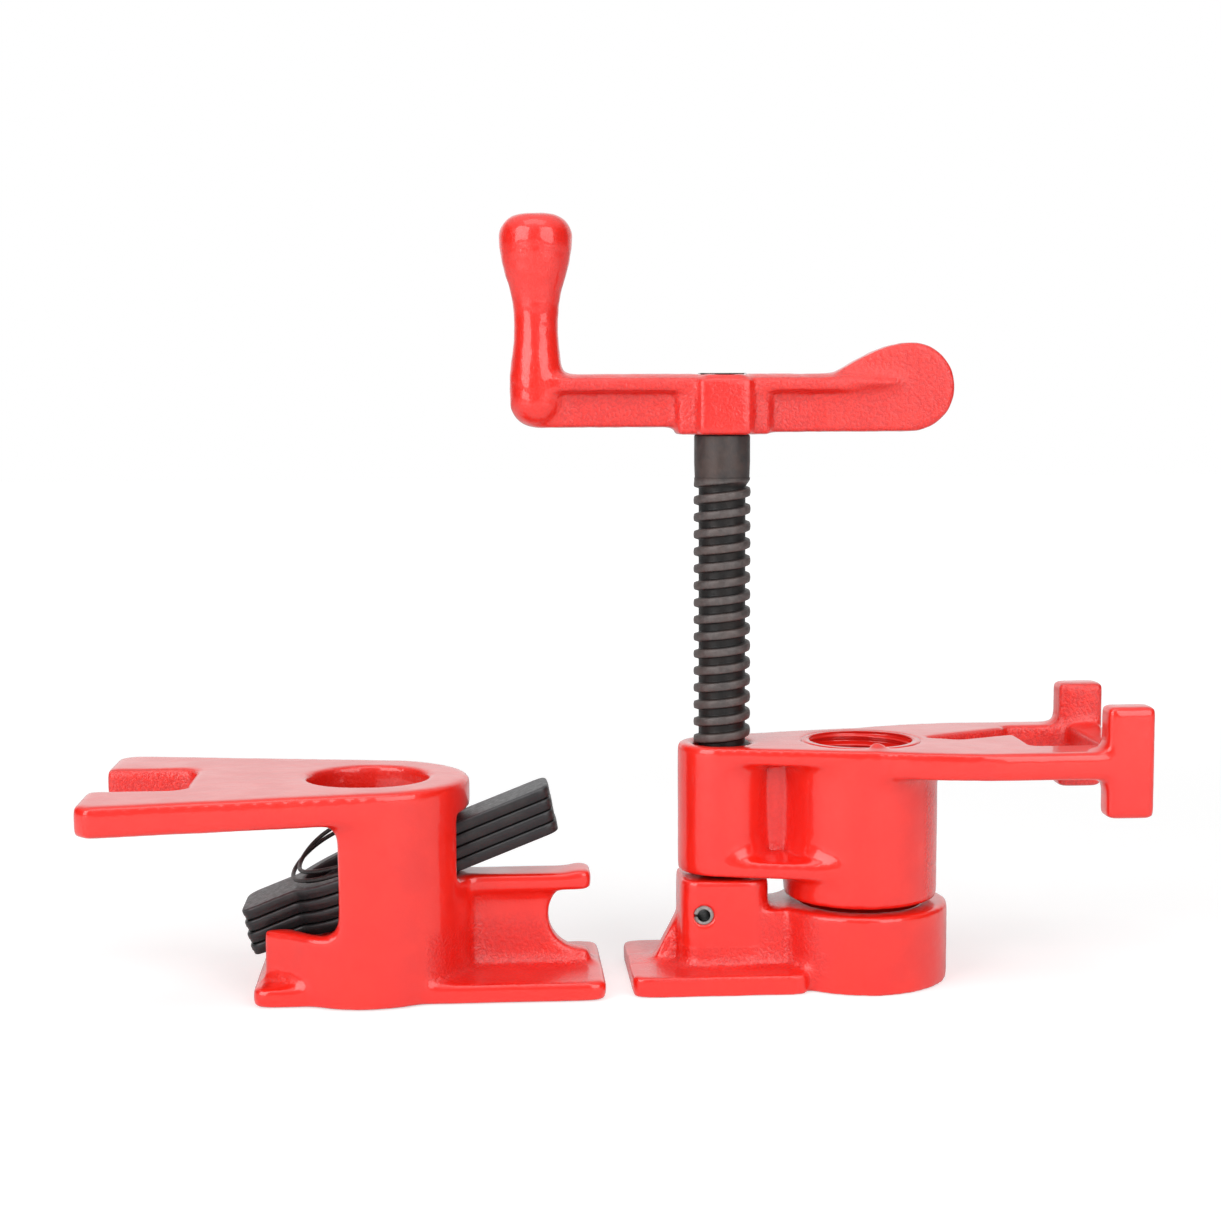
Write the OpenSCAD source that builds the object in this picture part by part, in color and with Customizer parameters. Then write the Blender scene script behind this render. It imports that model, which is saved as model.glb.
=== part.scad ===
// Pipe clamp for woodworking, as a set of two iron fixtures without its pipe.
// The screw head (right) has a fixed head with an H-shaped foot, a spindle with a crank and
// a sliding jaw. The tail stop (left) has a fork foot and four slanting clutch plates.
// Both stand on their jaw faces. X runs along the arms, Y across them and Z up along the pipe.
// The origin is the middle of the sliding jaw's pipe bore, on its jaw face.

/* [Pipe] */
// Outside diameter of the pipe that both fixtures run on
pipe_d = 26.7; // [26:0.1:27.4]
// Slack of the sliding bores round the pipe, on the diameter
pipe_slack = 1.5; // [1:0.1:2.4]
// Minor diameter of the pipe thread in the fixed head
pipe_thread_d = 24.3; // [23:0.1:25.4]

/* [Spindle] */
// Distance from the pipe axis to the spindle axis
spindle_offset = 33; // [32:0.5:38]
// Diameter over the crests of the spindle's thread
crest_d = 13.3; // [12:0.1:14]
// Diameter of the plain collar and of the thread's ends
collar_d = 13; // [12:0.1:14]
// Height of the plain collar under the crank
collar_h = 10; // [6:0.5:14]
// Free length of thread above the fixed head
thread_free_h = 62; // [40:1:80]
// Diameter of the turned-down tip in the sliding jaw
tip_d = 8.6; // [8:0.1:10.6]
// Depth of the groove round the tip that the roll pin runs in
groove_depth = 1.5; // [1:0.1:2]
// Radial clearance of the spindle in the bores it turns in
turn_gap = 0.08; // [0.05:0.01:0.1]

/* [Sliding jaw] */
// Outside diameter of the ring round the pipe
ring_d = 41.2; // [38:0.2:46]
// Height of the ring along the pipe
ring_h = 18.3; // [14:0.1:24]
// Width of the jaw plate
jaw_w = 36; // [32:0.5:42]
// Thickness of the jaw plate
jaw_t = 4.7; // [4:0.1:7]
// Length of the jaw plate past the spindle axis
jaw_reach = 22.3; // [18:0.5:30]
// Width of the boss that holds the spindle tip
jaw_boss_w = 20.8; // [18:0.2:23]
// Height of the boss that holds the spindle tip
jaw_boss_h = 25; // [21:0.5:30]
// Thickness of the gusset between the boss and the jaw plate
gusset_t = 5; // [3:0.5:7]
// Width of the neck between the boss and the ring
neck_w = 18; // [14:0.5:20]
// Radius of the corners of both jaw plates
plate_corner_r = 3; // [1:0.5:5]
// Diameter of the roll pin
roll_pin_d = 4.6; // [3.5:0.1:5]
// Height of the roll pin's axis
roll_pin_z = 17; // [13:0.5:18]

/* [Fixed head] */
// Running gap between the sliding jaw and the fixed head, when closed
head_gap = 1; // [0.6:0.1:3]
// Height of the pipe boss along the pipe
pipe_boss_h = 37.2; // [30:0.2:46]
// Outside diameter of the pipe boss
pipe_boss_d = 36.2; // [33:0.2:42]
// Outside diameter of the boss round the spindle
screw_boss_d = 20.8; // [18:0.2:23]
// Thickness of the arm
arm_t = 6.3; // [5:0.1:9]
// Length of the arm from the pipe axis to the end of the foot
arm_reach = 63.4; // [58:0.5:80]
// Width over the arm and the foot
foot_w = 49.2; // [46:0.2:60]
// Thickness of each of the foot's two blocks, across the arm
foot_block_t = 7.6; // [5:0.2:9]
// Length of each of the foot's two blocks, along the arm
foot_block_l = 11; // [8:0.5:14]
// How far the foot stands above the arm
foot_up = 10.3; // [6:0.1:16]
// How far the foot hangs below the arm's top face
foot_down = 15.5; // [10:0.1:24]
// Length of the window in the arm
window_l = 16.4; // [10:0.2:20]
// Length of the arm past the window
window_end = 9; // [6:0.5:14]
// Thickness of the web between the bosses
web_t = 6.4; // [4:0.2:10]
// Diameter of the bead down the web, at its upper end
bead_d = 3.4; // [2:0.2:5]
// Thickness of the plates above and below the side pockets
pocket_plate_t = 4; // [3:0.1:5]

/* [Crank] */
// Distance from the spindle axis to the knob's axis
crank_r = 43; // [38:0.5:50]
// Height of the crank's arm along the spindle
crank_h = 14; // [11:0.5:18]
// Diameter of the knob
knob_d = 17; // [14:0.5:20]
// Height of the knob's top above the underside of the arm
knob_top = 50.5; // [42:0.5:60]
// Diameter of the knob's stem at its waist
stem_d = 10.2; // [8:0.2:12]
// Thickness of the crank's web
crank_web_t = 5; // [4:0.5:7]
// Width of the flange along the top of the crank's arm
crank_flange_w = 12; // [8:0.5:13]
// Thickness of that flange
crank_flange_t = 2.7; // [2:0.1:3.5]
// Length of the hub along the crank's arm
hub_l = 12.6; // [11:0.2:16]
// Width of the hub across the crank's arm
hub_w = 16; // [15:0.2:20]
// Diameter of the round wing
wing_d = 20.6; // [17:0.2:24]
// Thickness of the wing
wing_t = 6; // [4:0.2:8]

/* [Tail stop] */
// Distance between the two pipe axes, as the fixtures stand
tail_distance = 116; // [112:1:150]
// Height of the tail stop
tail_h = 49.5; // [46:0.5:58]
// Outside diameter of the tail stop's body
tail_d = 47.4; // [45:0.2:52]
// Wall of the clutch housing
housing_wall = 3.9; // [3:0.1:4.2]
// Thickness of the fork arm and of the housing's top
fork_t = 7.2; // [6:0.1:10]
// Length of the fork from the pipe axis to its tips
fork_reach = 62.4; // [56:0.2:76]
// Width over the fork's tips
fork_w = 69; // [60:0.5:76]
// Width of the fork's notch
notch_w = 27; // [20:0.5:32]
// Length of the fork's notch
notch_l = 21.5; // [14:0.5:26]
// Thickness of the housing's floor
floor_t = 8.4; // [6:0.1:9]
// Thickness of the tail stop's jaw plate
tail_jaw_t = 4.5; // [4:0.1:7]
// Width of the tail stop's jaw plate
tail_jaw_w = 39.6; // [34:0.2:44]
// Length of the jaw plate past the pipe axis, away from the fork
tail_jaw_reach = 54.6; // [50:0.2:60]
// Thickness of the web between the jaw plate and the finger rest
rest_web_t = 6; // [4:0.5:9]
// Length of the finger rest past the pipe axis
rest_reach = 51.8; // [48:0.2:58]
// Radius of the round gap under the finger rest
finger_gap_r = 8.5; // [6:0.5:10]
// Height of the finger rest's top face
rest_z = 27.2; // [25:0.2:28]
// Thickness of the finger rest
rest_t = 4.7; // [3:0.1:6]
// Width of the finger rest
rest_w = 11; // [8:0.5:16]

/* [Clutch] */
// Number of clutch plates
plate_count = 4;
// Thickness of one clutch plate
plate_t = 2.7; // [2.2:0.1:2.8]
// Slant of the clutch plates at rest, in degrees
plate_slant = 21.5; // [20:0.1:23]
// Slack of the plates' holes round the pipe, on the diameter
plate_slack = 2.2; // [1.8:0.1:2.4]
// Gap between the plates' round sides and the housing's wall
plate_side_gap = 1.2; // [0.8:0.1:2]
// Width of the plates' long tabs, which stick out under the fork
tab_w = 19; // [16:0.5:20]
// Width of the plates' short tabs, which stick out over the finger rest
grip_w = 14; // [11:0.5:16]
// Length of the plates from the pipe axis to the end of the long tabs
tab_reach = 29.4; // [28:0.2:32]
// Length of the plates from the pipe axis to the end of the short tabs
grip_reach = 46.8; // [42:0.2:48]
// Gap between neighbouring plates
plate_gap = 0.06; // [0.05:0.01:0.2]
// Gap between the clutch plates and what they rest on
seat_gap = 0.3; // [0.2:0.05:0.5]
// Diameter of the spring's wire
wire_d = 1; // [0.8:0.1:1.2]
// Gap between the spring's lowest curl and the housing's wall
spring_side_gap = 1.3; // [1:0.1:3]
// Outside diameter of the spring's highest curl
spring_top_d = 30.8; // [30.6:0.2:34]
// How far each plate is set forward of the one below it, along the slant
plate_step = 0.25; // [0:0.05:0.3]

/* [Hidden] */
$fn = 72;
cut = 1;             // how far a cutting tool runs past the face it cuts
paint = [0.93, 0.10, 0.09];
black_steel = [0.22, 0.20, 0.20];
wire_steel = [0.14, 0.13, 0.13];

pipe_bore_d = pipe_d + pipe_slack;

// Heights of the screw head's parts, from the jaw face up
head_low = ring_h + head_gap;
head_top = head_low + pipe_boss_h;
arm_low = head_top - arm_t;
screw_boss_low = jaw_boss_h + head_gap;
collar_low = head_top + thread_free_h;
crank_low = collar_low + collar_h;
crank_top = crank_low + crank_h;
socket_floor = jaw_t + 1.5;
tip_low = socket_floor + 0.3;
thread_low = jaw_boss_h + 0.3;

// The spindle's end in the crank, and the hairline gap of pieces that are pressed together
crank_bore_d = collar_d - 3;
press_gap = 0.03;

// The roll pin lies across the spindle tip, in the groove's outer half
groove_d = tip_d - 2 * groove_depth;
roll_pin_x = -spindle_offset - groove_d / 2 - roll_pin_d / 2 - 0.1;
groove_h = roll_pin_d + 0.6;

// How the jaw's pieces meet
boss_side_in = 0.6;
boss_corner_r = 5;
neck_drop = 0.4;
gusset_in = 5.8;       // from the plate's free end
gusset_share = 0.66;   // of the boss's height
pin_in = 0.9;          // how far the roll pin's ends lie inside the boss
pin_wall_share = 0.19;
rivet_h = 0.45;        // how far the spindle's riveted end stands up

// Shares and corners of the fixed head
flare_share = 0.45;    // where the arm reaches its full width
flare_steps = 6;
window_front_in = 5;   // ledge between the window and the front block
window_r = 2;
slot_tip_y = 2.5;
slot_bend_share = 0.3;
slot_w_bend = 8;       // width of the slot at its bend, and at the window
slot_w_root = 9;
arm_end_in = 0.6;      // how far the arm ends short of the foot's blocks
bead_share = 0.12;
bead_place = 0.64;     // of the way from the pipe to the spindle

// Shares and corners of the crank
crown_h = 1.2;         // rise of the flange's rounded top
crown_share = 0.45;
wing_lift = 0.5;       // height of the wing's underside above the hub's
web_lift = 1.7;        // the same on the knob's side
wing_out = 0.8;        // how much farther out the wing's middle lies than the knob's
crank_shoulder = 4.6;
hub_r = 1.5;
flange_full = 0.55;
sweep_steps = 8;
dome_share = 0.65;
knob_foot_d = 12.4;

// A block in X, Y and Z with upright edges rounded to radius r
module post(x0, x1, y0, y1, z0, z1, r) {
    translate([0, 0, z0]) linear_extrude(z1 - z0) rounded(x0, x1, y0, y1, r);
}

// The same block's outline
module rounded(x0, x1, y0, y1, r) {
    translate([x0 + r, y0]) square([x1 - x0 - 2 * r, y1 - y0]);
    translate([x0, y0 + r]) square([x1 - x0, y1 - y0 - 2 * r]);
    for (x = [x0 + r, x1 - r], y = [y0 + r, y1 - r]) translate([x, y]) circle(r);
}

// A slab of thickness t across the X-Z plane, from an outline drawn in X and Z
module across(t) {
    translate([0, t / 2, 0]) rotate([90, 0, 0]) linear_extrude(t) children();
}

// Outline that joins two round bosses on the X axis with straight sides that touch both
module boss_outline(x_a, d_a, x_b, d_b) {
    lean = asin((d_b - d_a) / 2 / (x_b - x_a));
    function touch(x, d, side) = [x - d / 2 * sin(lean), side * d / 2 * cos(lean)];
    polygon([touch(x_a, d_a, -1), touch(x_b, d_b, -1), touch(x_b, d_b, 1), touch(x_a, d_a, 1)]);
    translate([x_a, 0]) circle(d = d_a);
    translate([x_b, 0]) circle(d = d_b);
}

// ---- Screw head ----

module sliding_jaw() {
    boss_x0 = -spindle_offset - jaw_boss_w / 2;
    boss_x1 = -spindle_offset + jaw_boss_w / 2;
    boss_y = jaw_boss_w / 2 - boss_side_in;
    plate_x0 = -spindle_offset - jaw_reach;
    plate_x1 = -ring_d / 2 + plate_corner_r * 2;
    color(paint) difference() {
        union() {
            cylinder(h = ring_h, d = ring_d);
            post(plate_x0, plate_x1, -jaw_w / 2, jaw_w / 2, 0, jaw_t, plate_corner_r);
            post(boss_x0, boss_x1, -boss_y, boss_y, 0, jaw_boss_h, boss_corner_r);
            // neck between the boss and the ring
            post(boss_x1 - boss_corner_r, -ring_d / 4, -neck_w / 2, neck_w / 2, 0,
                 ring_h - neck_drop, neck_drop);
            // gusset down to the plate's free end
            across(gusset_t) polygon([[plate_x0 + gusset_in, 0], [plate_x0 + gusset_in, jaw_t],
                [boss_x0, jaw_boss_h * gusset_share], [boss_x0 + boss_corner_r, jaw_boss_h * gusset_share],
                [boss_x0 + boss_corner_r, 0]]);
        }
        translate([0, 0, -cut]) cylinder(h = ring_h + 2 * cut, d = pipe_bore_d);
        // socket for the spindle's tip
        translate([-spindle_offset, 0, socket_floor])
            cylinder(h = jaw_boss_h, d = tip_d + 2 * turn_gap);
        // cross hole for the roll pin
        translate([roll_pin_x, jaw_boss_w, roll_pin_z]) rotate([90, 0, 0])
            cylinder(h = 2 * jaw_boss_w, d = roll_pin_d);
    }
}

// Slotted spring pin, which locks the spindle's tip in the jaw
module jaw_roll_pin() {
    pin_l = jaw_boss_w - 2 * pin_in;
    wall = roll_pin_d * pin_wall_share;
    color(wire_steel) translate([roll_pin_x, pin_l / 2, roll_pin_z]) rotate([90, 0, 0])
        difference() {
            cylinder(h = pin_l, d = roll_pin_d);
            translate([0, 0, -cut]) cylinder(h = pin_l + 2 * cut, d = roll_pin_d - 2 * wall);
            translate([-roll_pin_d, -wall / 2, -cut]) cube([roll_pin_d, wall, pin_l + 2 * cut]);
        }
}

module spindle() {
    color(black_steel) translate([-spindle_offset, 0, 0]) difference() {
        union() {
            translate([0, 0, tip_low]) cylinder(h = thread_low - tip_low, d = tip_d);
            translate([0, 0, thread_low]) cylinder(h = collar_low - thread_low, d = crest_d);
            translate([0, 0, collar_low]) cylinder(h = collar_h, d = collar_d);
            // square-shouldered end, riveted over on top of the crank
            translate([0, 0, crank_low])
                cylinder(h = crank_h + rivet_h, d = crank_bore_d - 2 * press_gap);
            translate([0, 0, crank_top + press_gap])
                cylinder(h = rivet_h, d1 = crank_bore_d + 2, d2 = crank_bore_d);
        }
        // groove for the roll pin
        translate([0, 0, roll_pin_z - groove_h / 2]) difference() {
            cylinder(h = groove_h, d = tip_d + 2);
            translate([0, 0, -cut]) cylinder(h = groove_h + 2 * cut, d = groove_d);
        }
    }
}

// Outline of the head's top: both bosses, and the arm that widens in a slight curve to the foot
module head_outline() {
    half = foot_w / 2;
    start = pipe_boss_d / 2;
    flare_x = arm_reach * flare_share;
    arm_end = arm_reach - foot_block_l;
    boss_outline(-spindle_offset, screw_boss_d, 0, pipe_boss_d);
    polygon([for (side = [-1, 1], i = side < 0 ? [0 : flare_steps] : [flare_steps : -1 : 0])
                 let (t = i / flare_steps)
                 [flare_x * t, side * (start + (half - start) * sin(90 * t))],
             ]);
    translate([flare_x, -half]) square([arm_end - flare_x, foot_w]);
}

// Window in the arm, flush with the rear block, and the wedge-shaped slot that leads from it to the pipe boss
module foot_window() {
    window_x1 = arm_reach - window_end;
    window_x0 = window_x1 - window_l;
    window_y1 = foot_w / 2 - foot_block_t;
    window_y0 = -window_y1 + window_front_in;
    slot_x0 = pipe_boss_d / 2 - window_r;
    slot_x1 = window_x0 + window_r;
    slot_bend = slot_x0 + (slot_x1 - slot_x0) * slot_bend_share;
    translate([0, 0, arm_low - cut]) linear_extrude(arm_t + 2 * cut) {
        rounded(window_x0, window_x1, window_y0, window_y1, window_r);
        polygon([[slot_x0, slot_tip_y], [slot_bend, slot_tip_y - slot_w_bend / 2],
                 [slot_x1, window_y1 - window_r - slot_w_root], [slot_x1, window_y1 - window_r],
                 [slot_bend, slot_tip_y + slot_w_bend / 2]]);
    }
}

module fixed_head() {
    pocket_top = head_top - pocket_plate_t;
    pocket_low = screw_boss_low + pocket_plate_t;
    block_x0 = arm_reach - foot_block_l;
    block_r = foot_block_t / 6;
    bead_low = pocket_low + (pocket_top - pocket_low) * bead_share;
    color(paint) difference() {
        union() {
            // pipe boss and screw boss
            translate([0, 0, head_low]) cylinder(h = pipe_boss_h, d = pipe_boss_d);
            translate([-spindle_offset, 0, screw_boss_low])
                cylinder(h = head_top - screw_boss_low, d = screw_boss_d);
            // top plate and arm, and the plates above and below the side pockets
            translate([0, 0, arm_low]) linear_extrude(arm_t) difference() {
                head_outline();
                translate([-spindle_offset, -foot_w]) square([spindle_offset, 2 * foot_w]);
            }
            for (z = [screw_boss_low, pocket_top])
                translate([0, 0, z]) linear_extrude(pocket_plate_t)
                    boss_outline(-spindle_offset, screw_boss_d, 0, pipe_boss_d);
            // web between the bosses, with a tapering bead down each side
            translate([-spindle_offset, -web_t / 2, screw_boss_low])
                cube([spindle_offset, web_t, head_top - screw_boss_low]);
            for (side = [-1, 1])
                translate([-spindle_offset * bead_place, side * web_t / 2, bead_low])
                    cylinder(h = pocket_top - bead_low + cut, d1 = bead_d * 0.6, d2 = bead_d);
            // foot: two blocks, with the arm between them
            for (side = [-1, 1]) {
                y_mid = side * (foot_w - foot_block_t) / 2;
                post(block_x0, arm_reach, y_mid - foot_block_t / 2, y_mid + foot_block_t / 2,
                     head_top - foot_down, head_top + foot_up, block_r);
            }
            translate([block_x0 - cut, -foot_w / 2 + foot_block_t / 2, arm_low])
                cube([foot_block_l + cut - arm_end_in, foot_w - foot_block_t, arm_t]);
        }
        translate([0, 0, head_low - cut]) cylinder(h = pipe_boss_h + 2 * cut, d = pipe_thread_d);
        translate([-spindle_offset, 0, screw_boss_low - cut])
            cylinder(h = head_top, d = crest_d + 2 * turn_gap);
        foot_window();
    }
}

// ---- Crank ----

// Cross-section of the crank's arm: a web with a crowned flange along its top
module arm_section(web_low) {
    edge_top = crank_top - crown_h;
    edge_low = edge_top - crank_flange_t;
    half = crank_flange_w / 2;
    polygon([[-crank_web_t / 2, web_low], [crank_web_t / 2, web_low], [crank_web_t / 2, edge_low],
             [half, edge_low], [half, edge_top], [half * crown_share, crank_top],
             [-half * crown_share, crank_top], [-half, edge_top], [-half, edge_low],
             [-crank_web_t / 2, edge_low]]);
}

// Side outline of the wing: a round paddle whose back sweeps down to the arm in an S
module wing_outline() {
    wing_z = crank_low + wing_lift + wing_d / 2;
    wing_x = crank_r + wing_out;
    sweep_x = wing_x - wing_d;
    sweep_z = crank_top - crown_h;
    top_z = wing_z + wing_d / 2;
    translate([wing_x, wing_z]) circle(d = wing_d);
    polygon(concat([for (i = [0 : sweep_steps]) let (t = i / sweep_steps)
                [sweep_x + (wing_x - sweep_x) * t, sweep_z + (top_z - sweep_z) * pow(sin(90 * t), 1.2)]],
            [[wing_x, wing_z - wing_d / 2], [sweep_x, crank_low + wing_lift]]));
}

module crank_handle() {
    shoulder_l = hub_l + 2 * crank_shoulder;
    shoulder_w = crank_flange_w - hub_r;
    flange_end = crank_r - wing_d / 4;
    color(paint) translate([-spindle_offset, 0, 0]) difference() {
        union() {
            // hub with a shoulder on each side
            post(-hub_l / 2, hub_l / 2, -hub_w / 2, hub_w / 2, crank_low, crank_top - crown_h, hub_r);
            post(-hub_l / 2 + hub_r, hub_l / 2 - hub_r, -hub_w / 2 + hub_r, hub_w / 2 - hub_r,
                 crank_low, crank_top, hub_r);
            post(-shoulder_l / 2, shoulder_l / 2, -shoulder_w / 2, shoulder_w / 2,
                 crank_low, crank_top - crown_h, hub_r);
            // arm: its flange narrows to the thickness of the wing
            intersection() {
                union() {
                    translate([-crank_r, 0, 0]) rotate([90, 0, 90]) linear_extrude(crank_r)
                        arm_section(crank_low + web_lift);
                    rotate([90, 0, 90]) linear_extrude(flange_end) arm_section(crank_low + wing_lift);
                }
                linear_extrude(crank_low + knob_top)
                    polygon([for (side = [-1, 1], i = side < 0 ? [0, 1, 2] : [2, 1, 0])
                        [[-crank_r, crank_r * flange_full, flange_end][i],
                         side * [crank_flange_w, crank_flange_w, wing_t][i] / 2]]);
            }
            across(wing_t) wing_outline();
            // knob on its stem
            translate([-crank_r, 0, 0]) rotate_extrude() knob_profile();
            translate([-crank_r, 0, crank_low + web_lift + knob_foot_d / 2]) sphere(d = knob_foot_d);
        }
        translate([0, 0, crank_low - cut]) cylinder(h = crank_h + 2 * cut, d = crank_bore_d);
    }
}

// Half outline of the knob and its stem, turned about the knob's axis
module knob_profile() {
    knob_r = knob_d / 2;
    dome_r = knob_r * dome_share;
    top_z = crank_low + knob_top;
    foot_z = crank_low + web_lift + knob_foot_d / 2;
    stem_r = stem_d / 2;
    translate([0, top_z - dome_r]) intersection() {
        translate([knob_r - dome_r, 0]) circle(dome_r);
        translate([0, -dome_r]) square([knob_r, 2 * dome_r]);
    }
    // [share of the way from the foot up to the dome, radius]
    taper = [[0, knob_foot_d / 2], [0.16, knob_foot_d / 2], [0.3, stem_r * 1.07], [0.42, stem_r],
             [0.5, stem_r], [0.6, stem_r * 1.05], [0.69, knob_r * 0.71], [0.78, knob_r * 0.84],
             [0.88, knob_r * 0.94], [0.95, knob_r * 0.985], [1, knob_r]];
    polygon(concat([[0, foot_z]],
        [for (p = taper) [p[1], foot_z + (top_z - dome_r - foot_z) * p[0]]],
        [[knob_r - dome_r, top_z], [0, top_z]]));
}

// ---- Tail stop ----

// Everything of the tail stop is drawn round its own pipe axis
module at_tail() {
    translate([-tail_distance, 0, 0]) children();
}

slot_side_gap = 3.3;      // beside the short tabs
tab_side_gap = 1.2;       // beside the long tabs
window_drop = 10.7;       // from the finger rest's top down to the window's sill
fork_low = tail_h - fork_t;
housing_in_d = tail_d - 2 * housing_wall;
// The clutch rocks on the slot's lower edge, at the inside of the housing's wall
slot_low = rest_z - 0.6;
rock_x = sqrt(pow(housing_in_d / 2, 2) - pow(grip_w / 2, 2));
rock_z = slot_low + seat_gap;
slot_w = grip_w + 2 * slot_side_gap;
tab_slot_w = tab_w + 2 * tab_side_gap;
plate_w = housing_in_d - 2 * plate_side_gap;
spring_d = housing_in_d - 2 * spring_side_gap;
lip_x = -tail_d / 2;
lip_t = 1.5;
lip_root = 0.68;          // where a lip's straight side leaves the round wall
lip_root_y = -0.733;
window_x = -6;            // upright edge of the window on the fork side
window_low = rest_z - window_drop;
window_corner_r = 4;
tail_jaw_back = 25.8;     // length of the jaw plate on the fork's side
notch_r = 4;
rest_end_in = 1.5;
fork_touch = 0.97;        // where the fork's straight sides leave the round body
clutch_t = plate_count * plate_t + (plate_count - 1) * plate_gap;
// Height of the slanting pack's lower face at x
function plates_low(x) = rock_z + (x - rock_x) * tan(plate_slant);

// Outline of the fork: the round body's sides run out to the tips in a straight taper
module fork_outline() {
    tip_r = plate_corner_r;
    half = fork_w / 2;
    union() {
        circle(d = tail_d);
        difference() {
            polygon([[tail_d / 8, -tail_d / 2 * fork_touch], [-fork_reach + tip_r, -half],
                     [-fork_reach, -half + tip_r], [-fork_reach, half - tip_r],
                     [-fork_reach + tip_r, half], [tail_d / 8, tail_d / 2 * fork_touch]]);
            rounded(-2 * fork_reach, -fork_reach + notch_l, -notch_w / 2, notch_w / 2, notch_r);
        }
    }
}

// Outline of the housing's lower wall: round, with straight lips beside the slot for the long tabs
module housing_outline() {
    circle(d = tail_d);
    for (side = [-1, 1])
        polygon([[lip_x * lip_root, side * lip_x * lip_root_y], [lip_x, side * (tab_slot_w / 2 + lip_t)],
                 [lip_x, side * tab_slot_w / 2], [lip_x * lip_root, side * tab_slot_w / 2]]);
}

module finger_rest() {
    gap_x = rest_reach - rest_end_in;
    gap_z = rest_z - rest_t / 2 - finger_gap_r;
    web_x0 = tail_d / 2 - housing_wall / 2;
    web_top = rest_z - rest_t / 2;
    across(rest_web_t) difference() {
        polygon([[web_x0, tail_jaw_t / 2], [rest_reach, tail_jaw_t / 2], [rest_reach, tail_jaw_t],
                 [gap_x, gap_z], [gap_x, web_top], [web_x0, web_top]]);
        translate([gap_x, gap_z]) circle(finger_gap_r);
    }
    post(web_x0, rest_reach, -rest_w / 2, rest_w / 2, rest_z - rest_t, rest_z, rest_end_in);
}

module tail_body() {
    tab_slot_low = plates_low(lip_x) - seat_gap;
    color(paint) at_tail() difference() {
        union() {
            cylinder(h = tail_h, d = tail_d);
            translate([0, 0, tail_jaw_t / 2]) linear_extrude(window_low - tail_jaw_t / 2)
                housing_outline();
            translate([0, 0, fork_low]) linear_extrude(fork_t) fork_outline();
            post(-tail_jaw_back, tail_jaw_reach, -tail_jaw_w / 2, tail_jaw_w / 2, 0, tail_jaw_t,
                 plate_corner_r);
            finger_rest();
        }
        // pipe bores in the top and the floor, and the clutch housing between them
        translate([0, 0, -cut]) cylinder(h = tail_h + 2 * cut, d = pipe_bore_d);
        translate([0, 0, floor_t]) cylinder(h = fork_low - floor_t, d = housing_in_d);
        // window on the fork side, with round corners
        across(2 * tail_d) rounded(-tail_d, window_x, window_low, fork_low, window_corner_r);
        translate([-tail_d, -tail_d, window_low])
            cube([tail_d / 2 + window_corner_r, 2 * tail_d, fork_low - window_low]);
        // slot for the long tabs
        translate([-tail_d, -tab_slot_w / 2, tab_slot_low])
            cube([tail_d, tab_slot_w, fork_low - tab_slot_low]);
        // slot for the short tabs
        post(0, tail_d, -slot_w / 2, slot_w / 2, slot_low, fork_low - seat_gap, seat_gap);
    }
}

// ---- Clutch ----

// Sets a child drawn in a plate's own plane on the slant, with the rocking edge as its origin
module on_slant() {
    at_tail() translate([rock_x, 0, rock_z]) rotate([0, -plate_slant, 0]) children();
}

module plate_outline() {
    hole_d = pipe_d + plate_slack;
    centre_x = -rock_x / cos(plate_slant) + (clutch_t / 2) * tan(plate_slant);
    tab_x = centre_x - tab_reach;
    grip_x = centre_x + grip_reach;
    translate([centre_x, 0]) difference() {
        union() {
            circle(d = plate_w);
            translate([-centre_x, 0]) {
                rounded(tab_x, centre_x, -tab_w / 2, tab_w / 2, 3);
                rounded(centre_x, grip_x, -grip_w / 2, grip_w / 2, 2.5);
            }
        }
        circle(d = hole_d);
    }
}

module clutch_plate(place) {
    color(black_steel) on_slant() translate([place * plate_step, 0, place * (plate_t + plate_gap)])
        linear_extrude(plate_t) plate_outline();
}

// The spring is one wire in two loose curls, between the plates and the housing's top.
// "turn" counts curls from the lower end.
curls = 2.06;
rings_per_curl = 24;
spring_rings = ceil(curls * rings_per_curl);
wire_sides = 6;
spring_start = 270;    // angle of the lower end, in degrees
function plates_top(x) = plates_low(x) + clutch_t / cos(plate_slant);
// [curls, share of the free height above the plates]
rise = [[0, 0], [0.25, 0.06], [0.4, 0.33], [0.5, 0.42], [0.62, 0.24], [0.75, 0.12], [1, 0.12],
        [1.25, 0.14], [1.4, 0.48], [1.5, 0.62], [1.75, 0.7], [2, 0.88], [2.1, 0.93]];
function climb(turn) = (lookup(turn - 0.05, rise) + 2 * lookup(turn, rise) + lookup(turn + 0.05, rise)) / 4;
function spring_r(turn) = (spring_d - (spring_d - spring_top_d) * turn / curls - wire_d) / 2;
function spring_point(turn) =
    let (a = spring_start - 360 * turn, r = spring_r(turn), x = r * cos(a), y = r * sin(a),
         low = plates_top(x) + wire_d / 2 + seat_gap + 0.15,
         high = fork_low - wire_d / 2 - seat_gap)
    [x, y, low + (high - low) * climb(turn)];
function unit(v) = v / norm(v);
function ring_at(i) =
    let (turn = i / rings_per_curl, step = 0.01,
         p = spring_point(turn), along = unit(spring_point(turn + step) - spring_point(turn - step)),
         out = unit([p[0], p[1], 0] - ([p[0], p[1], 0] * along) * along), up = cross(out, along))
    [for (k = [0 : wire_sides - 1])
        p + wire_d / 2 * (cos(360 * k / wire_sides) * out + sin(360 * k / wire_sides) * up)];

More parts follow.
